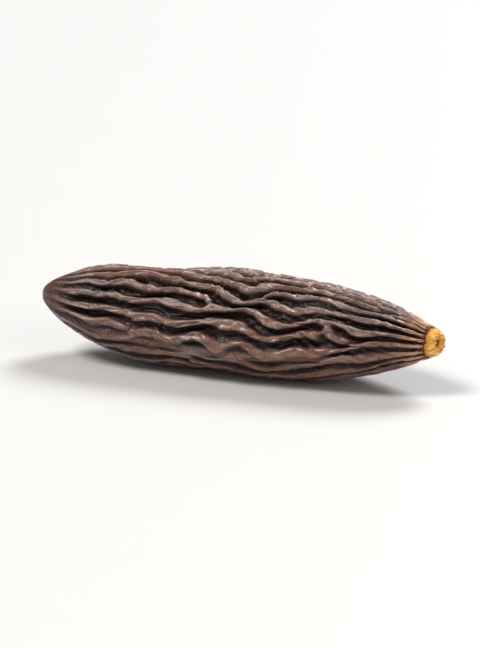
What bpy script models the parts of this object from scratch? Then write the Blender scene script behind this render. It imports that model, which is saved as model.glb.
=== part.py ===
"""A dried tonka bean lying on its broad side, one solid, in metres with +Z up.

The bean's long axis is X, with the blunt end at -X and the tapered end with the pale scar at +X.
Its width is Y and its thickness is Z. The origin is under its middle, on the surface it rests on.

Every point of the skin is worked out from two numbers: how far along the bean it lies (s, from -1 at
the blunt end to 1 at the tapered one) and the angle round the bean (from +Y towards +Z). That angle is
phi where the wrinkles run straight, and theta once they have strayed from side to side.
"""

import bmesh
import bpy
import numpy as np

# The bean without its wrinkles
LENGTH = 0.0330
WIDTH = 0.0087
THICKNESS = 0.0075
SIDEWAYS_BEND = 0.0012
BLUNT_END_LIFT = 0.0013
TAPER_END_LIFT = 0.0005
LIFT_POWER = 2.5
SECTION_POWER = 2.25
TIP_RADIUS = 1e-8
BLUNT_POWERS = (2.70, 0.54)
TAPER_POWERS = (2.15, 0.68)
TWIST = 0.16

# The scar where the bean hung in its pod: a small knob that ends the tapered end, its face turned to -Y
SCAR_RADIUS = 0.00112
SCAR_LENGTH = 0.00098
SCAR_POWERS = (2.6, 0.5)
SCAR_BLEND = 5.0
SCAR_TILT = 0.30
TILT_SPAN = (0.866, 0.985)

# The seam ridge along one side, with calmer skin next to it and under the bean
SEAM_ANGLE = 3.38
SEAM_HEIGHT = 0.00034
SEAM_SPREAD = 0.12
SEAM_CALM = 0.75
SEAM_CALM_SPREAD = 0.22
UNDER_CALM = 0.50
UNDER_SPAN = (0.0, -0.9)

# The hollow that the shrinking seed left on the other side
HOLLOW_ANGLE = 2.45
HOLLOW_DRIFT = 0.35
HOLLOW_DEPTH = 0.00045
HOLLOW_SPREAD = 0.42
HOLLOW_REACH = 0.46
HOLLOW_CENTRE = -0.12

# Broad swells of the body
SWELL_HEIGHT = 0.00022
SWELL_COUNT = 7
SWELL_WAVES = ((0.8, 2.8), (1, 4))

# The wrinkles: the stiff skin buckles at one spacing over the shrinking kernel, mostly lengthwise
SEED = 11
FIELD_SIZE = 256
FIELD_LENGTH = 0.0360
GIRTH = 0.0268
WRINKLE_SPACING = 0.00124
WRINKLE_DEPTH = 0.00066
BUCKLING_DRIVE = 0.45
LENGTHWISE_PULL = 0.32
CREST_BIAS = -0.35
START_NOISE = 0.1
BUCKLING_STEPS = 40
STEP_SIZE = 0.5
CREST_STEEPNESS = 1.7
CREST_LEVEL = -0.05
CREST_MEAN = 0.50
WANDER = 0.00023
WANDER_COUNT = 14
WANDER_WAVES = ((3.0, 9.0), (-8, 9))
DEPTH_CHANGE = 0.38
DEPTH_COUNT = 6
DEPTH_WAVES = ((1.0, 3.5), (1, 5))
END_DEPTH_SHARE = 0.35
SMOOTH_BLUNT_END = (0.990, 0.70)
SMOOTH_TAPER_END = (0.985, 0.86)

# The flat spot it rests on
REST_CUT = 0.00016
REST_HALF_LENGTH = 0.0044
REST_HALF_WIDTH = 0.0015
REST_FADE = (0.85, 1.8)

# The mesh: 2 * AROUND * (ALONG - 1) triangles
AROUND = 116
ALONG = 52
RING_EVENNESS = 0.55

SKIN_COLOUR = (0.030, 0.019, 0.016, 1.0)
SKIN_ROUGHNESS = 0.45


def smooth_step(low, high, value):
    """0 before low, 1 after high, and a smooth rise between them."""
    share = np.clip((value - low) / (high - low), 0.0, 1.0)
    return share * share * (3.0 - 2.0 * share)


def angle_between(angle, centre):
    """The signed turn from centre to angle, between -pi and pi."""
    return (angle - centre + np.pi) % (2 * np.pi) - np.pi


def buckled_field():
    """Heights of a buckled skin, on a grid that repeats both along and round the bean.

    Each step lets the waves near the wrinkle spacing grow and the others die, holds back the waves that
    cross the bean, and limits the height by its cube. Left alone it settles into branching ridges.
    """
    rng = np.random.default_rng(SEED)
    along = 2 * np.pi * np.fft.fftfreq(FIELD_SIZE, FIELD_LENGTH / FIELD_SIZE)[:, None]
    around = 2 * np.pi * np.fft.rfftfreq(FIELD_SIZE, GIRTH / FIELD_SIZE)[None, :]
    wave = 2 * np.pi / WRINKLE_SPACING
    growth = BUCKLING_DRIVE - (1 - (along**2 + around**2) / wave**2) ** 2
    growth = growth - LENGTHWISE_PULL * (along / wave) ** 2
    height = START_NOISE * rng.standard_normal((FIELD_SIZE, FIELD_SIZE))
    for _ in range(BUCKLING_STEPS):
        push = CREST_BIAS * height**2 - height**3
        waves = (np.fft.rfft2(height) + STEP_SIZE * np.fft.rfft2(push)) / (1 - STEP_SIZE * growth)
        height = np.fft.irfft2(waves, s=height.shape)
    return height / np.abs(height).max()


def read_field(field, s, phi):
    """The field between its grid points, blended from the four nearest."""
    row = (0.5 + 0.5 * s * LENGTH / FIELD_LENGTH) * FIELD_SIZE
    column = phi / (2 * np.pi) * FIELD_SIZE
    row_0 = np.floor(row).astype(int)
    column_0 = np.floor(column).astype(int)
    row_share = row - row_0
    column_share = column - column_0
    rows = (row_0 % FIELD_SIZE, (row_0 + 1) % FIELD_SIZE)
    columns = (column_0 % FIELD_SIZE, (column_0 + 1) % FIELD_SIZE)
    near = field[rows[0], columns[0]] * (1 - column_share) + field[rows[0], columns[1]] * column_share
    far = field[rows[1], columns[0]] * (1 - column_share) + field[rows[1], columns[1]] * column_share
    return near * (1 - row_share) + far * row_share


def crest_share(height):
    """0 at the lowest valley and 1 at the highest crest, with steep sides between flatter crests and floors."""
    lowest = np.tanh(CREST_STEEPNESS * (-1 - CREST_LEVEL))
    highest = np.tanh(CREST_STEEPNESS * (1 - CREST_LEVEL))
    return (np.tanh(CREST_STEEPNESS * (height - CREST_LEVEL)) - lowest) / (highest - lowest)


def end_profile(s):
    """Share of the full section at s: each end narrows by its own pair of powers."""
    blunt = (1 - np.abs(np.minimum(s, 0)) ** BLUNT_POWERS[0]) ** BLUNT_POWERS[1]
    taper = (1 - np.maximum(s, 0) ** TAPER_POWERS[0]) ** TAPER_POWERS[1]
    return blunt * taper


def scar_profile(s):
    """Share of the scar knob's radius at s, 0 before the knob starts."""
    from_centre = np.clip((s * LENGTH / 2 - LENGTH / 2 + SCAR_LENGTH) / SCAR_LENGTH, -1, 1)
    return (1 - np.abs(from_centre) ** SCAR_POWERS[0]) ** SCAR_POWERS[1]


def half_size(full, s):
    """Half the width or thickness at s, with the scar knob blended on to the tapered end."""
    body = full / 2 * end_profile(s)
    knob = SCAR_RADIUS * scar_profile(s)
    return np.maximum((body**SCAR_BLEND + knob**SCAR_BLEND) ** (1 / SCAR_BLEND), TIP_RADIUS)


def wander(s, phi):
    """How far wrinkles stray round the bean: a sum of seeded sine waves, in metres."""
    rng = np.random.default_rng(SEED + 1)
    total = np.zeros_like(s)
    for _ in range(WANDER_COUNT):
        waves_along = rng.uniform(*WANDER_WAVES[0])
        waves_around = rng.integers(*WANDER_WAVES[1])
        phase = rng.uniform(0, 2 * np.pi)
        total += np.sin(np.pi * waves_along * s + waves_around * phi + phase)
    return WANDER * total / np.sqrt(WANDER_COUNT)


def crossed_waves(s, angle, seed, count, waves):
    """A sum of seeded products of one cosine along the bean and one round it."""
    rng = np.random.default_rng(seed)
    total = np.zeros_like(s)
    for _ in range(count):
        waves_along = rng.uniform(*waves[0])
        waves_around = rng.integers(*waves[1])
        phases = rng.uniform(0, 2 * np.pi, 2)
        total += np.cos(np.pi * waves_along * s + phases[0]) * np.cos(waves_around * angle + phases[1])
    return total / np.sqrt(count)


def rest_fade(s, theta):
    """0 over the patch that the bean rests on and 1 away from it."""
    across = np.sin(angle_between(theta, -np.pi / 2)) * WIDTH / 2
    across = np.where(np.sin(theta) < 0, across, WIDTH)
    reach = np.hypot(s * LENGTH / 2 / REST_HALF_LENGTH, across / REST_HALF_WIDTH)
    return smooth_step(REST_FADE[0], REST_FADE[1], reach)


def section_radius(s, theta):
    """The bean's radius without relief: a rounded section between an ellipse and a box."""
    turned = theta - TWIST * s
    across = np.abs(np.cos(turned) / half_size(WIDTH, s)) ** SECTION_POWER
    upright = np.abs(np.sin(turned) / half_size(THICKNESS, s)) ** SECTION_POWER
    return (across + upright) ** (-1 / SECTION_POWER)


def broad_relief(s, theta):
    """The seam ridge, the hollow and the swells, as a change of radius in metres."""
    seam = SEAM_HEIGHT * np.exp(-((angle_between(theta, SEAM_ANGLE) / SEAM_SPREAD) ** 2))
    across_hollow = angle_between(theta, HOLLOW_ANGLE + HOLLOW_DRIFT * s) / HOLLOW_SPREAD
    along_hollow = (s - HOLLOW_CENTRE) / HOLLOW_REACH
    hollow = HOLLOW_DEPTH * np.exp(-(across_hollow**2) - along_hollow**2)
    swells = SWELL_HEIGHT * crossed_waves(s, theta, SEED + 2, SWELL_COUNT, SWELL_WAVES)
    return (seam - hollow + swells) * end_profile(s)


def wrinkle_relief(s, phi, theta):
    """The wrinkles as a change of radius in metres: shallower at the ends, by the seam and underneath."""
    depth = 1 + DEPTH_CHANGE * crossed_waves(s, phi, SEED + 3, DEPTH_COUNT, DEPTH_WAVES)
    depth = depth * smooth_step(*SMOOTH_BLUNT_END, -s) * smooth_step(*SMOOTH_TAPER_END, s)
    depth = depth * (END_DEPTH_SHARE + (1 - END_DEPTH_SHARE) * end_profile(s))
    depth = depth * (1 - SEAM_CALM * np.exp(-((angle_between(theta, SEAM_ANGLE) / SEAM_CALM_SPREAD) ** 2)))
    depth = depth * (1 - UNDER_CALM * smooth_step(*UNDER_SPAN, np.sin(theta)))
    crests = crest_share(read_field(buckled_field(), s, phi)) - CREST_MEAN
    return WRINKLE_DEPTH * crests * depth


def skin_points(s, phi):
    """The points of the skin: section and relief laid round a spine that bends sideways and lifts at
    both ends, with the tapered tip sheared back so that the scar faces a little to -Y."""
    theta = phi + wander(s, phi) * end_profile(s) * 2 * np.pi / GIRTH
    relief = (broad_relief(s, theta) + wrinkle_relief(s, phi, theta)) * rest_fade(s, theta)
    radius = section_radius(s, theta) + relief
    tilt = SCAR_TILT * (radius * np.cos(theta) - SCAR_RADIUS) * smooth_step(*TILT_SPAN, s)
    spine_y = SIDEWAYS_BEND * (0.5 - s**2)
    spine_z = np.where(s < 0, BLUNT_END_LIFT, TAPER_END_LIFT) * np.abs(s) ** LIFT_POWER
    x = s * LENGTH / 2 + tilt
    return np.stack((x, spine_y + radius * np.cos(theta), spine_z + radius * np.sin(theta)), axis=-1)


def station(turn):
    """s for a ring of the sphere, turn being its angle from the +Z pole: rings crowd at the ends less than
    on a sphere, so that the middle gets more of them."""
    even = 1 - 2 * turn / np.pi
    return RING_EVENNESS * even + (1 - RING_EVENNESS) * np.cos(turn)


def settle(points):
    """Gives the bean its full length, centres it over the origin and presses its lowest skin flat on Z = 0."""
    points[:, 0] *= LENGTH / np.ptp(points[:, 0])
    low = points.min(axis=0)
    high = points.max(axis=0)
    points = points - np.array([(low[0] + high[0]) / 2, (low[1] + high[1]) / 2, low[2] + REST_CUT])
    points[:, 2] = np.maximum(points[:, 2], 0.0)
    return points


def skin_material():
    material = bpy.data.materials.new("bean_skin")
    material.use_nodes = True
    shader = material.node_tree.nodes["Principled BSDF"]
    shader.inputs["Base Color"].default_value = SKIN_COLOUR
    shader.inputs["Roughness"].default_value = SKIN_ROUGHNESS
    shader.inputs["Metallic"].default_value = 0.0
    return material


def make_bean(collection):
    """A sphere whose every vertex is moved to its own place on the bean."""
    mesh = bpy.data.meshes.new("tonka_bean")
    sphere = bmesh.new()
    bmesh.ops.create_uvsphere(sphere, u_segments=AROUND, v_segments=ALONG, radius=1.0)
    sphere.to_mesh(mesh)
    sphere.free()

    directions = np.empty(len(mesh.vertices) * 3)
    mesh.vertices.foreach_get("co", directions)
    directions = directions.reshape(-1, 3)
    s = station(np.arccos(np.clip(directions[:, 2], -1.0, 1.0)))
    phi = np.arctan2(directions[:, 1], directions[:, 0])
    mesh.vertices.foreach_set("co", settle(skin_points(s, phi)).ravel())
    mesh.update()
    mesh.shade_smooth()
    mesh.materials.append(skin_material())

    bean = bpy.data.objects.new("tonka_bean", mesh)
    collection.objects.link(bean)
    return bean


def main():
    for existing in list(bpy.data.objects):
        bpy.data.objects.remove(existing)
    collection = bpy.data.collections.new("tonka_bean")
    bpy.context.scene.collection.children.link(collection)
    make_bean(collection)


main()
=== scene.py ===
import math

import bpy
import numpy as np
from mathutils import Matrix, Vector


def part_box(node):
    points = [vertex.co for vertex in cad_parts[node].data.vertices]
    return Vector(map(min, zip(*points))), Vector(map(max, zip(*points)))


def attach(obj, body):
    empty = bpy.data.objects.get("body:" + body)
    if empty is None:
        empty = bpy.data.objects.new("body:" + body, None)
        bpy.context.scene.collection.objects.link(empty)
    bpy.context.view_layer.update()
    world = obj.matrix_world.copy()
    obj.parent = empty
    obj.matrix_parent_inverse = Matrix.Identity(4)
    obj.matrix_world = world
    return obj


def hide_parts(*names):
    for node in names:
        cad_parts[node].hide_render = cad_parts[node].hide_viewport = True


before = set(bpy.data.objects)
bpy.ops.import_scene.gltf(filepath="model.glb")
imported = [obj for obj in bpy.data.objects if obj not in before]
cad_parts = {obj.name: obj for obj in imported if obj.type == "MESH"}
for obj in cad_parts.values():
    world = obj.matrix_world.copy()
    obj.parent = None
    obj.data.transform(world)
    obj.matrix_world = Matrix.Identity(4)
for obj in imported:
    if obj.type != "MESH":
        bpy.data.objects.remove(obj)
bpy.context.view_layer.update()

beanLow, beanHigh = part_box("tonka_bean")
mm = 0.001
print("frame loaded, bean box in mm:", [round((b - a) / mm, 2) for a, b in zip(beanLow, beanHigh)])


# A point of the skin has two numbers: s along the bean, -1 at the blunt end and 1 at the scar,
# and phi round it, from +Y towards +Z
bean = {
    "length": beanHigh.x - beanLow.x,
    "width": 8.7 * mm,
    "thickness": 7.5 * mm,
    "sidewaysBend": 1.2 * mm,
    "bluntLift": 1.3 * mm,            # how far the spine rises towards each end
    "taperLift": 0.5 * mm,
    "liftPower": 2.5,
    "sectionPower": 2.25,             # 2 is an ellipse, more is boxier
    "tipRadius": 1e-8,                # least half width, which keeps the powers finite at the poles
    "bluntPowers": (2.70, 0.54),      # a and b of each end's profile
    "taperPowers": (2.15, 0.68),
    "twist": 0.16,                    # radians that the section turns between the middle and an end
    "rings": 250,
    "columns": 398,
    "outlinePoints": 20001,           # points at which the outline is measured to place the rings
    "capReach": 3.2 * mm,             # this much of the skin at the scar gets finer rings
    "capCrowding": 3.2,               # how many times closer they lie
}

scar = {
    "radius": 1.12 * mm,
    "length": 0.98 * mm,
    "powers": (2.6, 0.5),             # a and b of the knob's profile
    "blend": 5.0,                     # more makes a sharper corner between knob and body
    "tilt": 0.30,                     # turns its face towards -Y
    "tiltSpan": (0.866, 0.985),
    "faceRadii": (1.02, 0.80),        # the face's relief sets in between these shares of the radius
    "raggedness": 0.16,
    "ragWaves": ((1.0, 2, 0.6), (0.7, 5, 0.0), (0.5, 9, 2.0)),     # height, count round the face, phase
    "rimRadius": 0.70 * mm,           # raised ring
    "rimWidth": 0.22 * mm,
    "rimHeight": 0.13 * mm,
    "pitPlace": (-0.10 * mm, 0.08 * mm),
    "pitRadius": 0.33 * mm,           # hollow near the middle
    "pitDepth": 0.40 * mm,
    "crumbSeed": 16,
    "crumbWaves": 30,
    "crumbSpacing": (0.16 * mm, 0.50 * mm),
    "crumbHeight": 0.050 * mm,
    "crumbContrast": 0.25,            # of the lumps in the paint
    "paintLengths": (1.5, 0.25),      # its paint sets in between so many scar lengths before the end
    "paintRadii": (1.75, 0.90),       # and between these shares of the radius
}

edges = {
    "seamAngle": 3.38,                # the seam of the two halves, along the thin edge
    "seamHeight": 0.34 * mm,
    "seamSpread": 0.12,
    "seamCalm": 0.75,                 # wrinkles fade beside the seam
    "seamCalmSpread": 0.22,
    "underCalm": 0.50,                # and are shallower underneath
    "underRange": (0.0, -0.9),        # from this sine of the angle round the bean to that one
    "hollowAngle": 2.45,              # the hollow that the shrinking seed left beside the seam
    "hollowDrift": 0.35,
    "hollowDepth": 0.45 * mm,
    "hollowSpread": 0.42,
    "hollowReach": 0.46,
    "hollowCentre": -0.12,
    "swellSeed": 13,
    "swellHeight": 0.22 * mm,         # broad low bumps
    "swellCount": 7,
    "swellRanges": ((0.8, 2.8), (1, 4)),      # how many waves along the bean, and round it
}

wrinkles = {
    "seed": 11,
    "fieldLength": 36.0 * mm,         # the field repeats after this length and this girth
    "girth": 26.8 * mm,
    "spacing": 1.24 * mm,
    "grid": 256,
    "finer": 4,                       # it is read from a grid so many times as fine
    "depth": 0.66 * mm,
    "drive": 0.45,                    # how strongly the skin buckles
    "pull": 0.32,                     # holds back wrinkles that run across the bean
    "crestBias": -0.35,               # below 0 the crests join up round short valleys
    "crestSteepness": 2.3,            # more makes flatter crests with steeper sides
    "crestLevel": -0.13,              # less makes the valleys narrower
    "crestMean": 0.55,                # share of the depth that lies under the plain body
    "endShare": 0.35,                 # share of the depth that is left as the body narrows
    "wanderSeed": 12,
    "wander": 0.23 * mm,
    "wanderWaves": 14,
    "wanderRanges": ((3.0, 9.0), (-8, 9)),
    "depthSeed": 14,
    "depthWaves": 6,
    "depthRanges": ((1.0, 3.5), (1, 5)),
    "depthChange": 0.38,
    "leastDepth": 0.0,
    "smoothBluntEnd": (0.990, 0.70),
    "smoothTaperEnd": (0.985, 0.86),
}

fineWrinkles = {
    "seed": 35,
    "spacing": 0.53 * mm,
    "grid": 512,
    "finer": 2,
    "depth": 0.25 * mm,
    "drive": 0.50,
    "pull": 0.13,
    "crestBias": -0.45,
    "crestSteepness": 1.2,
    "crestLevel": 0.0,
    "crestMean": 0.65,
    "depthSeed": 36,
    "depthWaves": 12,
    "depthRanges": ((2.0, 7.0), (1, 9)),
    "depthChange": 0.60,
    "leastDepth": 0.1,
    "smoothBluntEnd": (0.93, 0.66),
    "smoothTaperEnd": (0.975, 0.93),
}

rest = {
    "cut": 0.16 * mm,                 # how much of the lowest skin is pressed flat
    "halfLength": 4.4 * mm,           # the calm patch round it
    "halfWidth": 1.5 * mm,
    "fade": (0.85, 1.8),
}


def smoothStep(low, high, value):
    # 0 before low, 1 after high, and 3t^2 - 2t^3 between them
    share = np.clip((value - low) / (high - low), 0, 1)
    return share * share * (3 - 2 * share)


def angleBetween(angle, centre):
    # How far an angle is from the centre, between -pi and pi
    return (angle - centre + np.pi) % (2 * np.pi) - np.pi


def buckledField(kind, steps=40, stepSize=0.5, startNoise=0.1):
    # Heights of a buckling skin on a grid that repeats both ways: in each step waves near the spacing
    # grow, others and those across the bean die, and the height's cube holds it back
    size = kind["grid"]
    rng = np.random.default_rng(kind["seed"])
    alongBean = 2 * np.pi * np.fft.fftfreq(size, wrinkles["fieldLength"] / size)[:, None]
    roundBean = 2 * np.pi * np.fft.rfftfreq(size, wrinkles["girth"] / size)[None, :]
    wave = 2 * np.pi / kind["spacing"]
    misfit = (1 - (alongBean**2 + roundBean**2) / wave**2) ** 2
    growth = kind["drive"] - misfit - kind["pull"] * (alongBean / wave) ** 2
    height = startNoise * rng.standard_normal((size, size))
    for _ in range(steps):
        push = kind["crestBias"] * height**2 - height**3
        waves = (np.fft.rfft2(height) + stepSize * np.fft.rfft2(push)) / (1 - stepSize * growth)
        height = np.fft.irfft2(waves, s=height.shape)
    return height / np.abs(height).max()


def finerGrid(field, times):
    # The same waves on a grid so many times as fine: their spectrum, padded with zeros
    rows, columns = field.shape
    pads = [(size * (times - 1) // 2,) * 2 for size in (rows, columns)]
    waves = np.pad(np.fft.fftshift(np.fft.fft2(field)), pads)
    return np.fft.ifft2(np.fft.ifftshift(waves)).real * times**2


def readField(field, s, phi):
    # The field between its grid points, blended from the four nearest
    rows, columns = field.shape
    row = (0.5 + 0.5 * s * bean["length"] / wrinkles["fieldLength"]) * rows
    column = phi / (2 * np.pi) * columns
    row0 = np.floor(row).astype(int)
    column0 = np.floor(column).astype(int)
    rowShare = row - row0
    columnShare = column - column0
    row1 = (row0 + 1) % rows
    column1 = (column0 + 1) % columns
    row0 = row0 % rows
    column0 = column0 % columns
    near = field[row0, column0] * (1 - columnShare) + field[row0, column1] * columnShare
    far = field[row1, column0] * (1 - columnShare) + field[row1, column1] * columnShare
    return near * (1 - rowShare) + far * rowShare


def endProfile(s):
    # Share of the full section: (1 - |s|^a)^b, with its own a and b at each end
    blunt = (1 - np.abs(np.minimum(s, 0)) ** bean["bluntPowers"][0]) ** bean["bluntPowers"][1]
    taper = (1 - np.maximum(s, 0) ** bean["taperPowers"][0]) ** bean["taperPowers"][1]
    return blunt * taper


def halfSize(full, s):
    # Half the width or thickness: the body's, and the scar's knob (1 - |t|^a)^b at the tapered end,
    # blended as the n-th root of the sum of their n-th powers
    half = bean["length"] / 2
    t = np.clip((s * half - half + scar["length"]) / scar["length"], -1, 1)
    knob = scar["radius"] * (1 - np.abs(t) ** scar["powers"][0]) ** scar["powers"][1]
    body = full / 2 * endProfile(s)
    both = (body ** scar["blend"] + knob ** scar["blend"]) ** (1 / scar["blend"])
    return np.maximum(both, bean["tipRadius"])


def wander(s, phi):
    # How far wrinkles stray round the bean: a sum of seeded sine waves, in metres
    rng = np.random.default_rng(wrinkles["wanderSeed"])
    alongRange, aroundRange = wrinkles["wanderRanges"]
    total = np.zeros_like(s)
    for _ in range(wrinkles["wanderWaves"]):
        wavesAlong = rng.uniform(*alongRange)
        wavesAround = rng.integers(*aroundRange)
        phase = rng.uniform(0, 2 * np.pi)
        total += np.sin(np.pi * wavesAlong * s + wavesAround * phi + phase)
    return wrinkles["wander"] * total / math.sqrt(wrinkles["wanderWaves"])


def crossedWaves(s, phi, seed, count, alongRange, aroundRange):
    # A sum of seeded products of one cosine along the bean and one round it, where the number of waves
    # round it is whole and below the end of its range
    rng = np.random.default_rng(seed)
    total = np.zeros_like(s)
    for _ in range(count):
        wavesAlong = rng.uniform(*alongRange)
        wavesAround = rng.integers(*aroundRange)
        phases = rng.uniform(0, 2 * np.pi, 2)
        total += np.cos(np.pi * wavesAlong * s + phases[0]) * np.cos(wavesAround * phi + phases[1])
    return total / math.sqrt(count)


def restFade(s, theta):
    # 0 over the oval patch that the bean rests on, 1 away from it
    across = np.sin(angleBetween(theta, -np.pi / 2)) * bean["width"] / 2
    across = np.where(np.sin(theta) < 0, across, bean["width"])
    reach = np.hypot(s * bean["length"] / 2 / rest["halfLength"], across / rest["halfWidth"])
    return smoothStep(*rest["fade"], reach)


def fadeEnds(kind, s):
    # 1 over the body, 0 at both ends
    return smoothStep(*kind["smoothBluntEnd"], -s) * smoothStep(*kind["smoothTaperEnd"], s)


def crestShape(kind, height):
    # The hyperbolic tangent of a height between -1 and 1, as a share of its range
    low, middle, high = (np.tanh(kind["crestSteepness"] * (value - kind["crestLevel"]))
                         for value in (-np.ones_like(height), height, np.ones_like(height)))
    return (middle - low) / (high - low)


def relief(kind, s, phi, body):
    # One kind of wrinkles: the shares of its crests, and their heights in metres. A height is the share
    # less its mean, times a depth that changes over the bean and falls towards the ends
    crest = crestShape(kind, readField(finerGrid(buckledField(kind), kind["finer"]), s, phi))
    depth = 1 + kind["depthChange"] * crossedWaves(
        s, phi, kind["depthSeed"], kind["depthWaves"], *kind["depthRanges"])
    rise = (crest - kind["crestMean"]) * fadeEnds(kind, s) * np.maximum(depth, kind["leastDepth"])
    return crest, kind["depth"] * rise * (wrinkles["endShare"] + (1 - wrinkles["endShare"]) * body)


def beanSkin(s, phi):
    # Radius of a rounded section, plus seam, hollow, swells and wrinkles, round a spine that bends
    # sideways and lifts at both ends. Returns points, radii and what the paint needs to know
    theta = phi + wander(s, phi) * endProfile(s) * 2 * np.pi / wrinkles["girth"]
    turned = theta - bean["twist"] * s
    power = bean["sectionPower"]
    across = np.abs(np.cos(turned) / halfSize(bean["width"], s)) ** power
    upright = np.abs(np.sin(turned) / halfSize(bean["thickness"], s)) ** power
    radius = (across + upright) ** (-1 / power)

    body = endProfile(s)
    seamTurn = angleBetween(theta, edges["seamAngle"])
    seam = np.exp(-((seamTurn / edges["seamSpread"]) ** 2))
    smoother = 1 - edges["seamCalm"] * np.exp(-((seamTurn / edges["seamCalmSpread"]) ** 2))
    smoother = smoother * (1 - edges["underCalm"] * smoothStep(*edges["underRange"], np.sin(theta)))
    hollowTurn = angleBetween(theta, edges["hollowAngle"] + edges["hollowDrift"] * s)
    hollow = np.exp(-((hollowTurn / edges["hollowSpread"]) ** 2))
    hollow = hollow * np.exp(-(((s - edges["hollowCentre"]) / edges["hollowReach"]) ** 2))
    swells = crossedWaves(s, theta, edges["swellSeed"], edges["swellCount"], *edges["swellRanges"])
    broad = edges["seamHeight"] * seam - edges["hollowDepth"] * hollow + edges["swellHeight"] * swells

    crest, coarse = relief(wrinkles, s, phi, body)
    fineCrest, fine = relief(fineWrinkles, s, phi, body)
    calm = restFade(s, theta)
    radius = radius + (broad * body + (coarse + fine) * smoother) * calm

    points = np.stack((
        s * bean["length"] / 2,
        bean["sidewaysBend"] * (0.5 - s**2) + radius * np.cos(theta),
        np.where(s < 0, bean["bluntLift"], bean["taperLift"]) * np.abs(s) ** bean["liftPower"]
        + radius * np.sin(theta)), axis=-1)
    paint = {
        "crest": 0.5 + (crest - 0.5) * fadeEnds(wrinkles, s) * calm,
        "fineCrest": 0.5 + (fineCrest - 0.5) * fadeEnds(fineWrinkles, s) * calm,
        "seam": seam * body,
        "along": s,
    }
    return points, radius, paint


def crumbs(x, y, z):
    # Lumps of a crumbly face: a sum of seeded sine waves that run in every direction of space
    rng = np.random.default_rng(scar["crumbSeed"])
    total = np.zeros_like(y)
    for _ in range(scar["crumbWaves"]):
        way = rng.standard_normal(3)
        wave = 2 * np.pi / (rng.uniform(*scar["crumbSpacing"]) * np.linalg.norm(way))
        total += np.sin(wave * (x * way[0] + y * way[1] + z * way[2]) + rng.uniform(0, 2 * np.pi))
    return total / math.sqrt(scar["crumbWaves"])


def carveScar(points, radius, paint, s, phi):
    # Pushes the cap along X: tilted, with a Gaussian ring, a Gaussian pit beside its middle, and crumbs.
    # A sum of sine waves round the face makes the ring and the paint's edge ragged
    y = radius * np.cos(phi)
    z = radius * np.sin(phi)
    rags = sum(rise * np.sin(count * phi + phase) for rise, count, phase in scar["ragWaves"])
    ragged = 1 + scar["raggedness"] * rags
    face = (s > 0) * smoothStep(*(scar["radius"] * share for share in scar["faceRadii"]), radius)
    rim = np.exp(-(((radius * ragged - scar["rimRadius"]) / scar["rimWidth"]) ** 2))
    fromPit = np.hypot(y - scar["pitPlace"][0], z - scar["pitPlace"][1]) / scar["pitRadius"]
    pit = np.exp(-(fromPit**2))
    lumps = crumbs(s * bean["length"] / 2, y, z)
    push = scar["rimHeight"] * rim - scar["pitDepth"] * pit + scar["crumbHeight"] * lumps
    points[:, 0] += face * push
    points[:, 0] += scar["tilt"] * (y - scar["radius"]) * smoothStep(*scar["tiltSpan"], s)
    knob = smoothStep(*(1 - 2 * far * scar["length"] / bean["length"] for far in scar["paintLengths"]), s)
    paint["scar"] = knob * smoothStep(*scar["paintRadii"], radius * ragged / scar["radius"])
    paint["crumbs"] = 0.5 + scar["crumbContrast"] * lumps
    paint["pit"] = face * pit


def ringStations():
    # s of each ring: evenly spaced along the bean's outline, and closer near the scar
    turn = np.linspace(np.pi, 0, bean["outlinePoints"])
    s = np.cos(turn)
    outline = np.stack((s * bean["length"] / 2, halfSize(bean["width"], s)))
    steps = np.hypot(*np.diff(outline))
    left = steps[::-1].cumsum()[::-1]                # outline still to go before the scar's middle
    steps = steps * np.where(left < bean["capReach"], bean["capCrowding"], 1)
    reached = np.concatenate(([0], steps.cumsum()))
    return np.interp(np.linspace(0, reached[-1], bean["rings"] + 2), reached, s)[1:-1]


def closedGrid(rings, columns):
    # Faces of a grid of rings whose columns close round, with a point at each end
    ring, column = np.mgrid[0:rings - 1, 0:columns]
    following = (column + 1) % columns
    quads = np.stack((ring * columns + column, ring * columns + following,
                      (ring + 1) * columns + following, (ring + 1) * columns + column), axis=-1)
    first = np.arange(columns)
    after = (first + 1) % columns
    last = (rings - 1) * columns
    lowPole = np.full(columns, rings * columns)
    highPole = lowPole + 1
    start = np.stack((after, first, lowPole), axis=-1)
    end = np.stack((last + first, last + after, highPole), axis=-1)
    return quads.reshape(-1, 4).tolist() + start.tolist() + end.tolist()


def settle(points):
    # Gives the points the solid's length, centres them on its box and presses the lowest skin flat
    points[:, 0] *= bean["length"] / np.ptp(points[:, 0])
    low = points.min(axis=0)
    high = points.max(axis=0)
    points = points - (low + high) / 2
    points[:, 0] += (beanLow.x + beanHigh.x) / 2
    points[:, 1] += (beanLow.y + beanHigh.y) / 2
    points[:, 2] += beanLow.z + (high[2] - low[2]) / 2 - rest["cut"]
    points[:, 2] = np.maximum(points[:, 2], beanLow.z)
    return points


def makeBean():
    angles = np.linspace(0, 2 * np.pi, bean["columns"], endpoint=False)
    s, phi = (grid.ravel() for grid in np.meshgrid(ringStations(), angles, indexing="ij"))
    s = np.append(s, (-1.0, 1.0))                    # the two poles
    phi = np.append(phi, (0.0, 0.0))
    points, radius, paint = beanSkin(s, phi)
    carveScar(points, radius, paint, s, phi)
    mesh = bpy.data.meshes.new("tonkaBean")
    mesh.from_pydata(settle(points).tolist(), [], closedGrid(bean["rings"], bean["columns"]))
    for name, values in paint.items():
        mesh.attributes.new(name, "FLOAT", "POINT").data.foreach_set("value", values.astype(np.float32))
    mesh.shade_smooth()
    mesh.validate()
    piece = bpy.data.objects.new("tonkaBean", mesh)
    bpy.context.scene.collection.objects.link(piece)
    print("bean made:", len(mesh.vertices), "points")
    return piece


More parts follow.
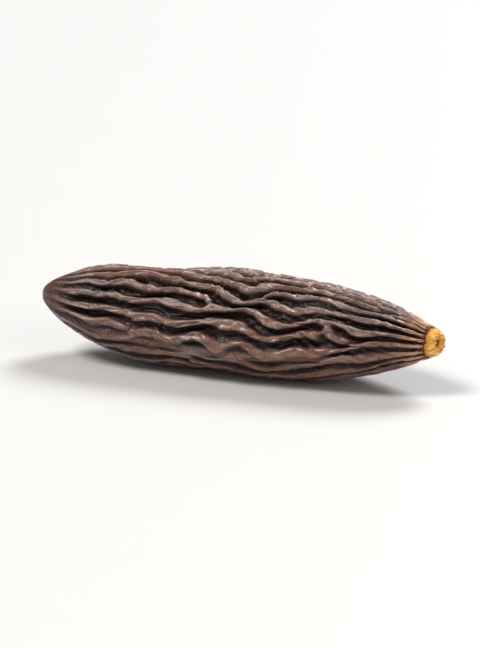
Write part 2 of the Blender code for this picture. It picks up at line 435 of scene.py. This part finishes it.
class Flow:
    # A shader socket that takes part in Python expressions: each operator adds a Math node
    def __init__(self, tree, socket=None):
        self.tree = tree
        self.socket = socket

    def node(self, kind, settings, values, output=0):
        # Any node: its settings first, then the values or links of its inputs, by name or number
        made = self.tree.nodes.new(kind)
        for name, setting in settings.items():
            setattr(made, name, setting)
        for name, value in values.items():
            if isinstance(value, Flow):
                self.tree.links.new(value.socket, made.inputs[name])
            else:
                made.inputs[name].default_value = value
        return Flow(self.tree, made.outputs[output])

    def math(self, operation, first, second):
        return self.node("ShaderNodeMath", {"operation": operation}, {0: first, 1: second})

    def __add__(self, other):
        return self.math("ADD", self, other)

    def __radd__(self, other):
        return self.math("ADD", other, self)

    def __sub__(self, other):
        return self.math("SUBTRACT", self, other)

    def __rsub__(self, other):
        return self.math("SUBTRACT", other, self)

    def __mul__(self, other):
        return self.math("MULTIPLY", self, other)

    def __rmul__(self, other):
        return self.math("MULTIPLY", other, self)

    def sway(self, reach):
        # A value that lies round 0.5, made to lie round 0 and to go reach times as far
        return (self - 0.5) * reach

    def ramp(self, low, high):
        # A smooth rise from 0 at low to 1 at high
        return self.node("ShaderNodeMapRange", {"interpolation_type": "SMOOTHSTEP"},
                         {"Value": self, "From Min": low, "From Max": high})

    def mix(self, share, colour, other):
        # A colour that goes to the other one by share
        return self.node("ShaderNodeMix", {"data_type": "RGBA"}, {0: share, 6: colour, 7: other}, 2)

    def attribute(self, name):
        return self.node("ShaderNodeAttribute", {"attribute_name": name}, {}, "Fac")

    def vector(self, operation, values):
        return self.node("ShaderNodeVectorMath", {"operation": operation}, values, "Vector")

    def place(self, size, stretch, offset):
        # The object's own coordinates, in which a pattern of unit size becomes size across, in metres
        here = self.node("ShaderNodeTexCoord", {}, {}, "Object")
        scale = tuple(1 / (size * longer) for longer in stretch)
        return self.node("ShaderNodeMapping", {}, {"Vector": here, "Location": (offset,) * 3, "Scale": scale})

    def noise(self, size, stretch, detail, roughness, offset):
        # Soft lumps about size across, from 0 to 1
        return self.node("ShaderNodeTexNoise", {}, {"Vector": self.place(size, stretch, offset), "Scale": 1.0,
                                                    "Detail": detail, "Roughness": roughness})

    def net(self, size, stretch, stray, offset, bendScale=1.3, bendDetail=2.0):
        # Distance from the nearest line of an irregular net, whose meshes are about size across.
        # A noise of bendScale waves a mesh moves its lines by up to half of stray
        straight = self.place(size, stretch, offset)
        bend = self.node("ShaderNodeTexNoise", {},
                         {"Vector": straight, "Scale": bendScale, "Detail": bendDetail}, "Color")
        bend = self.vector("SUBTRACT", {0: bend, 1: (0.5, 0.5, 0.5)})
        bend = self.vector("SCALE", {0: bend, "Scale": stray})
        bent = self.vector("ADD", {0: straight, 1: bend})
        return self.node("ShaderNodeTexVoronoi", {"feature": "DISTANCE_TO_EDGE"},
                         {"Vector": bent, "Scale": 1.0})

    def bump(self, height, distance, below=None):
        # distance is how far, in metres, the surface seems to move where height goes from 0 to 1
        values = {"Height": height, "Distance": distance}
        if below:
            values["Normal"] = below
        return self.node("ShaderNodeBump", {}, values)


skinPaint = {
    # painted shade: the near black of the valleys stands in for the shade that falls in them
    "valley": (0.0040, 0.0020, 0.0016, 1),
    "body": (0.0310, 0.0130, 0.0086, 1),
    # the crest colours are partly the lighter, worn and dusty crests and partly a painted highlight; the cool
    # crest colour is a grey-lilac painted sheen
    "crest": (0.355, 0.212, 0.148, 1),
    "paintedSheenCrest": (0.262, 0.180, 0.162, 1),
    "redBrown": (0.085, 0.028, 0.018, 1),
    "redCrestAndHighlight": (0.278, 0.126, 0.086, 1),
    "tipValley": (0.030, 0.0075, 0.0032, 1),
    "tipCrest": (0.62, 0.345, 0.185, 1),
    "collar": (0.065, 0.016, 0.006, 1),
    "scar": (0.78, 0.36, 0.045, 1),
    "scarCrust": (0.88, 0.62, 0.24, 1),
    "scarEdge": (0.50, 0.17, 0.022, 1),
    # painted shade: the dark of the scar's pit stands in for shade in the hollow
    "scarPitShade": (0.045, 0.016, 0.006, 1),
    "bloom": (0.30, 0.252, 0.232, 1),
    "speck": (0.56, 0.51, 0.45, 1),
    "fineShare": 0.32,                # of the fine wrinkles in the height that picks the colour
    "fineCreases": (0.2, 0.4),        # their strength everywhere, and what dusty places add
    "redAmount": 0.80,
    "redFade": 0.25,                  # how much weaker the crests are where the skin is red
    "crestAndHighlightAmount": 0.88,
    "crestSway": (0.25, 0.30),        # how much streaks and dust fray the crests
    # share of painted highlight along the seam's ridge
    "seamHighlightAmount": 0.5,
    "creaseAmount": 0.46,
    "bloomAmount": 0.30,
    "speckAmount": 0.7,
    "strandSway": (0.12, 0.08),       # how much streaks and dust fray the start of the strands
    "crumbShare": 0.6,                # crumbs in the scar's colour, the rest is grain
    "rimAmount": 0.75,
    "edgeSway": (0.35, 0.8, 0.35),    # how much grain, dust and wrinkles fray the scar's edge
    "collarAmount": 0.85,
    "roughness": 0.41,
    "rougher": (0.2, 0.35, 0.25),     # by grain, bloom and scar
    "specular": 0.32,
    "coat": 0.55,
    "coatRoughness": 0.25,
    "creaseDepth": 0.036 * mm,
    "grainDepth": 0.014 * mm,
    "dustDepth": 0.08 * mm,
    "streakDepth": 0.030 * mm,
}

# A share goes from 0 at the first number to 1 at the second
skinRanges = {
    # the valleys' near black is painted shade, the crests' pale paint partly a painted highlight
    "slope": (0.20, 0.55),            # heights over which valleys turn to body
    "crest": (0.50, 0.80),            # and body to crest
    "coarseLine": (0.0, 0.14),        # distances from a crease, in meshes of its net
    "fineLine": (0.0, 0.20),
    "coarseNet": (0.66, 0.40),        # tints where the coarse net shows
    "fineNet": (0.44, 0.60),          # dust where the fine net shows more
    "red": (0.41, 0.57),              # patches
    # patches where the crests take the grey-lilac painted sheen
    "paintedSheenPatches": (0.38, 0.62),             # tints
    # the pale paint along it is a painted highlight
    "seam": (0.55, 1.0),              # the seam's ridge
    "bloomDust": (0.50, 0.75),        # dust and heights that bear bloom
    "bloomHeight": (0.35, 0.75),
    "specks": (0.73, 0.78),
    "strands": (0.76, 0.96),          # s over which the caramel strands of the tapered end begin
    "tipGap": (0.30, 0.60),           # heights of the gaps between them
    "tipStrand": (0.40, 0.75),        # and of the strands
    "scarBody": (0.26, 0.48),         # crumbs from the edge's colour to yellow
    "scarCrust": (0.48, 0.74),        # and from yellow to crust
    "scarRim": (1.0, 0.72),           # the scar's mask towards its rim
    "collar": (0.10, 0.32),           # its frayed mask, where the collar starts
    "scarFace": (0.45, 0.68),         # and where the scar does
    "pit": (0.25, 0.8),
    "coat": (0.40, 0.85),             # heights that have a gloss coat
    "coatEnd": (0.3, 0.6),            # the scar's mask, where the coat ends
}

# Noises: size, stretch along X, Y and Z, detail, roughness, and an offset that sets each apart
patterns = {
    "patches": (4.5 * mm, (2.0, 1, 1), 3, 0.55, 0),
    "tints": (2.2 * mm, (1.8, 1, 1), 3, 0.6, 5.3),
    "streaks": (0.34 * mm, (6, 1, 1), 4, 0.65, 3.1),
    "dust": (0.9 * mm, (1.6, 1, 1), 6, 0.7, 7.7),
    "grain": (0.11 * mm, (2.4, 1, 1), 3, 0.6, 0),
    "specks": (0.13 * mm, (1, 1, 1), 1, 0.5, 9.3),
}

# Nets of creases: size of a mesh, stretch, how far the lines stray, and an offset
nets = {
    "coarse": (0.55 * mm, (2.1, 1, 1), 1.1, 0),
    "fine": (0.27 * mm, (1.5, 1, 1), 0.9, 4.4),
}


def beanSkinMaterial():
    look = skinPaint
    spans = skinRanges
    material = bpy.data.materials.new("beanSkin")
    material.use_nodes = True
    tree = material.node_tree
    shader = tree.nodes["Principled BSDF"]
    flow = Flow(tree)

    crest, fineCrest, along, seam, scarMask, pit, lumps = (
        flow.attribute(name) for name in ("crest", "fineCrest", "along", "seam", "scar", "pit", "crumbs"))
    patches, tints, streaks, dust, grain, specks = (flow.noise(*pattern) for pattern in patterns.values())

    # 1 between the creases, 0 in them
    coarseNet = flow.net(*nets["coarse"]).ramp(*spans["coarseLine"])
    fineNet = flow.net(*nets["fine"]).ramp(*spans["fineLine"])
    fineStrength = look["fineCreases"][0] + dust.ramp(*spans["fineNet"]) * look["fineCreases"][1]
    inside = 1 - (1 - coarseNet) * tints.ramp(*spans["coarseNet"]) - (1 - fineNet) * fineStrength

    # skin: nearly black in the valleys, which is painted shade, red-brown and brown on the slopes, dull tan
    # along the crests, partly worn, dusty crests and partly a painted highlight, with patches of grey-lilac
    # painted sheen
    height = crest * (1 - look["fineShare"]) + fineCrest * look["fineShare"]
    slope = height.ramp(*spans["slope"])
    crestAndHighlight = height + streaks.sway(look["crestSway"][0]) + dust.sway(look["crestSway"][1])
    crestAndHighlight = crestAndHighlight.ramp(*spans["crest"])
    red = patches.ramp(*spans["red"]) * look["redAmount"]
    colour = flow.mix(slope, look["valley"], look["body"])
    colour = flow.mix(red * slope, colour, look["redBrown"])
    paleCrestAndHighlight = flow.mix(tints.ramp(*spans["paintedSheenPatches"]), look["crest"], look["paintedSheenCrest"])
    paleCrestAndHighlight = flow.mix(red, paleCrestAndHighlight, look["redCrestAndHighlight"])
    colour = flow.mix(crestAndHighlight * (1 - red * look["redFade"]) * look["crestAndHighlightAmount"], colour, paleCrestAndHighlight)
    # painted highlight: the seam's ridge takes the pale crest paint
    colour = flow.mix(seam.ramp(*spans["seam"]) * look["seamHighlightAmount"], colour, paleCrestAndHighlight)
    colour = flow.mix((1 - inside) * look["creaseAmount"], colour, look["body"])

    # a thin pale bloom, in patches on what stands proud, and specks
    bloom = dust.ramp(*spans["bloomDust"]) * height.ramp(*spans["bloomHeight"]) * look["bloomAmount"]
    colour = flow.mix(bloom, colour, look["bloom"])
    colour = flow.mix(specks.ramp(*spans["specks"]) * look["speckAmount"], colour, look["speck"])

    # tapered end: caramel strands with dark red gaps run up to a red-brown collar
    near = along + streaks.sway(look["strandSway"][0]) + dust.sway(look["strandSway"][1])
    near = near.ramp(*spans["strands"])
    colour = flow.mix(near * (1 - height.ramp(*spans["tipGap"])), colour, look["tipValley"])
    colour = flow.mix(near * height.ramp(*spans["tipStrand"]), colour, look["tipCrest"])
    frayed = [part.sway(reach) for part, reach in zip((grain, dust, height), look["edgeSway"])]
    edge = scarMask + frayed[0] + frayed[1] + frayed[2]
    colour = flow.mix(edge.ramp(*spans["collar"]) * look["collarAmount"], colour, look["collar"])

    # scar: crumbly yellow with a darker rim, and painted shade in its pit
    crumbly = lumps * look["crumbShare"] + grain * (1 - look["crumbShare"])
    face = flow.mix(crumbly.ramp(*spans["scarBody"]), look["scarEdge"], look["scar"])
    face = flow.mix(crumbly.ramp(*spans["scarCrust"]), face, look["scarCrust"])
    face = flow.mix(scarMask.ramp(*spans["scarRim"]) * look["rimAmount"], face, look["scarEdge"])
    colour = flow.mix(edge.ramp(*spans["scarFace"]), colour, face)
    colour = flow.mix(pit.ramp(*spans["pit"]), colour, look["scarPitShade"])

    byGrain, byBloom, byScar = look["rougher"]
    roughness = look["roughness"] + grain.sway(byGrain) + bloom * byBloom + scarMask * byScar
    normal = flow.bump(inside, look["creaseDepth"])
    normal = flow.bump(grain, look["grainDepth"], normal)
    normal = flow.bump(dust, look["dustDepth"], normal)
    normal = flow.bump(streaks, look["streakDepth"], normal)
    coat = height.ramp(*spans["coat"]) * look["coat"] * (1 - scarMask.ramp(*spans["coatEnd"]))
    finish = {"Base Color": colour, "Roughness": roughness, "Coat Weight": coat, "Normal": normal}
    for name, value in finish.items():
        tree.links.new(value.socket, shader.inputs[name])
    shader.inputs["Specular IOR Level"].default_value = look["specular"]
    shader.inputs["Coat Roughness"].default_value = look["coatRoughness"]
    return material


studio = {
    "floorSize": 2.4,
    "floorColour": (0.54, 0.53, 0.515, 1),    # mid grey, which the lamps light up to a pale floor
    "floorRoughness": 0.6,
    "worldColour": (0.95, 0.97, 1.0, 1),
    "worldStrength": 0.28,
    "horizonStrength": 0.90,          # a bright band round the horizon, as in a white room
    "horizonHeight": (0.22, 0.02),    # the band fades in between these sines of the height
    "lensLength": 85.0,
    "clipStart": 5 * mm,
    "cameraAzimuth": 20.0,            # degrees; 0 looks along +Y
    "cameraElevation": 17.0,
    "cameraDistance": 0.120,
    "aimHeight": 3.6 * mm,
    "lightDistance": 0.3,             # where the lamps stand, which a sun's light doesn't depend on
}

# Sun lamps: from which azimuth and elevation they shine, and the angle they take up, in degrees
lights = {
    "key": {"from": (-50, 58), "softness": 22, "strength": 2.8, "colour": (1.0, 0.97, 0.94)},
    "back": {"from": (165, 48), "softness": 26, "strength": 3.2, "colour": (0.95, 0.97, 1.0)},
    "side": {"from": (75, 25), "softness": 20, "strength": 0.6, "colour": (1.0, 0.98, 0.95)},
}


def pointAround(centre, azimuth, elevation, distance):
    # The point seen from the centre in that direction; azimuth 0 is towards -Y
    a = math.radians(azimuth)
    e = math.radians(elevation)
    return centre + distance * Vector((math.sin(a) * math.cos(e), -math.cos(a) * math.cos(e), math.sin(e)))


def aim(thing, place, target):
    thing.location = place
    thing.rotation_euler = (target - place).to_track_quat("-Z", "Y").to_euler()
    bpy.context.scene.collection.objects.link(thing)


def makeFloor():
    half = studio["floorSize"] / 2
    corners = [(-half, -half, 0), (half, -half, 0), (half, half, 0), (-half, half, 0)]
    mesh = bpy.data.meshes.new("floor")
    mesh.from_pydata(corners, [], [(0, 1, 2, 3)])
    floor = bpy.data.objects.new("floor", mesh)
    bpy.context.scene.collection.objects.link(floor)
    paper = bpy.data.materials.new("floorPaper")
    paper.use_nodes = True
    shader = paper.node_tree.nodes["Principled BSDF"]
    shader.inputs["Base Color"].default_value = studio["floorColour"]
    shader.inputs["Roughness"].default_value = studio["floorRoughness"]
    mesh.materials.append(paper)


def makeWorld():
    world = bpy.data.worlds.new("studio")
    world.use_nodes = True
    sky = world.node_tree.nodes["Background"]
    sky.inputs["Color"].default_value = studio["worldColour"]
    flow = Flow(world.node_tree)
    way = flow.node("ShaderNodeTexCoord", {}, {}, "Generated")
    up = flow.node("ShaderNodeSeparateXYZ", {}, {0: way}, "Z")
    band = up.ramp(*studio["horizonHeight"]) * (studio["horizonStrength"] - studio["worldStrength"])
    world.node_tree.links.new((band + studio["worldStrength"]).socket, sky.inputs["Strength"])
    bpy.context.scene.world = world


def makeStudio():
    centre = Vector(((beanLow.x + beanHigh.x) / 2, (beanLow.y + beanHigh.y) / 2, studio["aimHeight"]))
    makeFloor()
    makeWorld()
    for name, light in lights.items():
        lamp = bpy.data.lights.new(name, "SUN")
        lamp.angle = math.radians(light["softness"])
        lamp.energy = light["strength"]
        lamp.color = light["colour"]
        place = pointAround(centre, *light["from"], studio["lightDistance"])
        aim(bpy.data.objects.new(name, lamp), place, centre)

    camera = bpy.data.objects.new("camera", bpy.data.cameras.new("camera"))
    camera.data.lens = studio["lensLength"]
    camera.data.clip_start = studio["clipStart"]
    aim(camera, pointAround(centre, studio["cameraAzimuth"], studio["cameraElevation"],
                            studio["cameraDistance"]), centre)
    bpy.context.scene.camera = camera
    bpy.context.scene.view_settings.view_transform = "Standard"
    print("studio made")


tonkaBean = makeBean()
tonkaBean.data.materials.append(beanSkinMaterial())
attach(tonkaBean, "root")
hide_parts("tonka_bean")
print("skin painted")
makeStudio()
